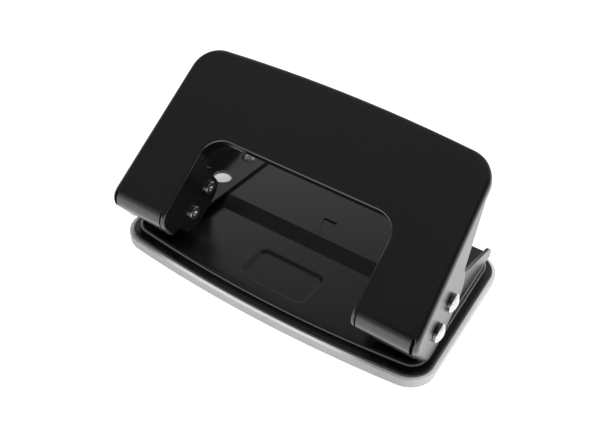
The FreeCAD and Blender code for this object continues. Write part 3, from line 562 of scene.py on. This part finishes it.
plateSettings = {
    "recessRoll": 0.5 * mm,      # the sunk rectangle's edges are drawn soft
    "rollSegments": 5,
    "rollAngle": 20.0,           # degrees; flatter edges aren't rolled
    "recessMiddle": 13.25 * mm,  # behind the front edge
    "recessReach": (13.0 * mm, 10.0 * mm),
    "levelSlack": 0.02 * mm,
    "facingUp": 0.5,             # height of the normal of a face that is seen from above
    "fineBevel": 0.14 * mm,
    "crease": 21.0,              # so that the ramp's two edges stay crisp
}


def makeBasePlate(settings):
    shape = copyNode("base_plate")
    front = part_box("base_plate")[0][1]
    reach = settings["recessReach"]

    def isRecess(edge):
        first, last = (vertex.co for vertex in edge.verts)
        middle = (first + last) / 2
        inside = abs(middle.x) < reach[0] and abs(middle.y - front - settings["recessMiddle"]) < reach[1]
        level = abs(first.z - last.z) < settings["levelSlack"]
        shown = all(face.normal.z > settings["facingUp"] for face in edge.link_faces)
        return inside and level and shown and edge.calc_face_angle() > math.radians(settings["rollAngle"])

    edges = [edge for edge in shape.edges if len(edge.link_faces) == 2 and isRecess(edge)]
    bmesh.ops.bevel(shape, geom=edges, offset=settings["recessRoll"], segments=settings["rollSegments"],
                    affect="EDGES", profile=0.5, clamp_overlap=True)
    print("   rolled", len(edges), "edges of the sunk rectangle")
    finishPiece("pressedBase", shape, [enamel, enamelEdge], "base", ["base_plate"], settings)


traySettings = {
    "fineBevel": 0.18 * mm,
    "bevelSegments": 3,
}


def makeTray(settings):
    shape = copyNode("chip_tray")
    finishPiece("chipTray", shape, [trayPlastic], "tray", ["chip_tray"], settings)


leverSettings = {
    "fineBevel": 0.12 * mm,
}


def makeLever(settings):
    shape = copyNode("lever_handle")
    finishPiece("leverHandle", shape, [enamel, enamelEdge], "lever", ["lever_handle"],
                settings)


bracketSettings = {
    "fineBevel": 0.16 * mm,
}


def makeBracket(word, settings):
    shape = copyNode(f"{word}_bracket")
    finishPiece(f"{word}Bracket", shape, [enamel, enamelEdge], "base", [f"{word}_bracket"],
                settings)


makeBasePlate(plateSettings)
makeTray(traySettings)
makeLever(leverSettings)
for word in ("left", "right"):
    makeBracket(word, bracketSettings)
print("pressed and moulded pieces made")

# Finish, the two directions across the axis, and the fine bevel.
turnedSettings = {
    "pivot_pin": ("bright", (0.0, 1.0, 1.0), 0.10 * mm),
    "drive_pin": ("bright", (0.0, 1.0, 1.0), 0.10 * mm),
    "bracket_rivet": ("bright", (1.0, 1.0, 0.0), 0.08 * mm),
    "punch": ("tool", (1.0, 1.0, 0.0), 0.06 * mm),
    "spring_seat": ("tool", (1.0, 1.0, 0.0), 0.05 * mm),
    "guide_bush": ("tool", (1.0, 1.0, 0.0), 0.08 * mm),
    "die_ring": ("tool", (1.0, 1.0, 0.0), 0.05 * mm),
}


def makeTurnedPieces(settings):
    for word in ("left", "right"):
        for kind, (finish, across, bevel) in settings.items():
            name = f"{word}_{kind}"
            low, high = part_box(name)
            middle = tuple((a + b) / 2 for a, b in zip(low, high))
            label = word + "".join(part.capitalize() for part in kind.split("_"))
            material = makeTurnedSteel(label + "Steel", middle, across, finish, steelSettings)
            finishPiece(label, copyNode(name), [material], bodyOf[name], [name],
                        {"fineBevel": bevel})


makeTurnedPieces(turnedSettings)
print("turned pieces made")

springSettings = {
    "radius": 4.0844 * mm,       # to the middle of the wire
    "wire": 0.225 * mm,          # half its thickness
    "turns": 3.5,
    "stepsPerTurn": 40,
    "sides": 14,
}


# One tree for both coil springs: a spiral swept with a round wire.
def makeCoilTree():
    tree = bpy.data.node_groups.new("coilSpring", "GeometryNodeTree")
    tree.is_modifier = True
    tree.interface.new_socket(name="Geometry", in_out="INPUT", socket_type="NodeSocketGeometry")
    tree.interface.new_socket(name="Geometry", in_out="OUTPUT", socket_type="NodeSocketGeometry")
    for label, kind in (("Coil Radius", "Float"), ("Wire Radius", "Float"), ("Rise", "Float"),
                        ("Turns", "Float"), ("Steps", "Int"), ("Sides", "Int"),
                        ("Place", "Vector"), ("Finish", "Material")):
        tree.interface.new_socket(name=label, in_out="INPUT", socket_type="NodeSocket" + kind)
    given = addNode(tree, "NodeGroupInput")
    result = addNode(tree, "NodeGroupOutput")
    spiral = addNode(tree, "GeometryNodeCurveSpiral")
    section = addNode(tree, "GeometryNodeCurvePrimitiveCircle")
    sweep = addNode(tree, "GeometryNodeCurveToMesh")
    smooth = addNode(tree, "GeometryNodeSetShadeSmooth")
    move = addNode(tree, "GeometryNodeTransform")
    finish = addNode(tree, "GeometryNodeSetMaterial")
    sweep.inputs["Fill Caps"].default_value = True
    for source, output, target, socket in (
            (given, "Coil Radius", spiral, "Start Radius"),
            (given, "Coil Radius", spiral, "End Radius"),
            (given, "Rise", spiral, "Height"),
            (given, "Turns", spiral, "Rotations"),
            (given, "Steps", spiral, "Resolution"),
            (given, "Sides", section, "Resolution"),
            (given, "Wire Radius", section, "Radius"),
            (spiral, "Curve", sweep, "Curve"),
            (section, "Curve", sweep, "Profile Curve"),
            (sweep, "Mesh", smooth, "Geometry"),
            (smooth, "Geometry", move, "Geometry"),
            (given, "Place", move, "Translation"),
            (move, "Geometry", finish, "Geometry"),
            (given, "Finish", finish, "Material"),
            (finish, "Geometry", result, "Geometry")):
        tree.links.new(source.outputs[output], target.inputs[socket])
    return tree


def makeSpring(tree, word, settings):
    low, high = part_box(f"{word}_spring")
    punchLow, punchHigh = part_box(f"{word}_punch")
    place = ((punchLow[0] + punchHigh[0]) / 2, (punchLow[1] + punchHigh[1]) / 2, low[2] + settings["wire"])
    height = high[2] - low[2]
    values = {
        "Coil Radius": settings["radius"],
        "Wire Radius": settings["wire"],
        "Rise": height - 2 * settings["wire"],
        "Turns": settings["turns"],
        "Steps": settings["stepsPerTurn"],
        "Sides": settings["sides"],
        "Place": place,
        "Finish": wireSteel,
    }
    piece = bpy.data.objects.new(f"{word}Spring", bpy.data.meshes.new(f"{word}Spring"))
    scene.collection.objects.link(piece)
    modifier = piece.modifiers.new("coil", "NODES")
    modifier.node_group = tree
    for item in tree.interface.items_tree:
        if item.item_type == "SOCKET" and item.in_out == "INPUT" and item.name in values:
            modifier[item.identifier] = values[item.name]
    applyModifiers(piece)
    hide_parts(f"{word}_spring")
    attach(piece, "base")
    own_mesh(piece)


coilTree = makeCoilTree()
for word in ("left", "right"):
    makeSpring(coilTree, word, springSettings)
print("springs made")
